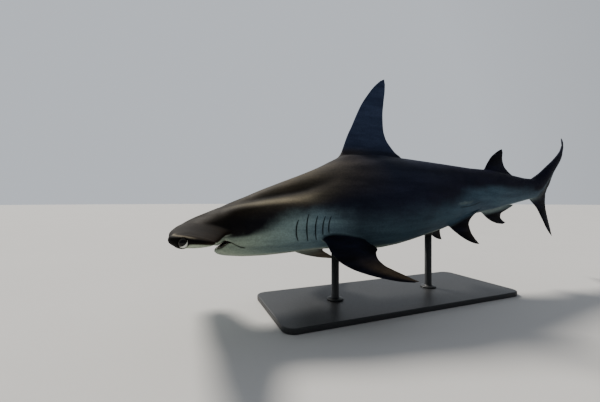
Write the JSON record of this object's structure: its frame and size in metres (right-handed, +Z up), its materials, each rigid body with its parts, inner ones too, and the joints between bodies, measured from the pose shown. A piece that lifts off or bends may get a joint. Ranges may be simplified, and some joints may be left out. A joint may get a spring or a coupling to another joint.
{
  "type": "great hammerhead shark model on a display stand",
  "caption": "Life-size great hammerhead shark in a swimming pose, with a wide flat head and a tall back fin, held by rods on a flat base.",
  "frame": {"origin": "at floor level, under the middle of the whole model's box: the bottom centre of the bounding box", "axes": "+Z up, -X towards the nose, -Y to the shark's left, which is the side that the picture shows"},
  "size_m": [3.3222, 0.8608, 1.3039],
  "materials": {
    "skin": "satin",
    "eye": "gloss",
    "teeth": "gloss",
    "stand": "satin"
  },
  "bodies": {
    "root": {"head": "skin", "lower_jaw": "skin", "eye_left": "eye", "eye_right": "eye", "gill_region": "skin", "trunk_front": "skin", "trunk_rear": "skin", "tail_stalk": "skin", "tail_upper_lobe": "skin", "tail_lower_lobe": "skin", "dorsal_fin_first": "skin", "dorsal_fin_second": "skin", "anal_fin": "skin", "pectoral_fin_left": "skin", "pectoral_fin_right": "skin", "pelvic_fin_left": "skin", "pelvic_fin_right": "skin", "stand_base": "stand", "stand_rod_front": "stand", "stand_rod_rear": "stand"}
  },
  "joints": []
}
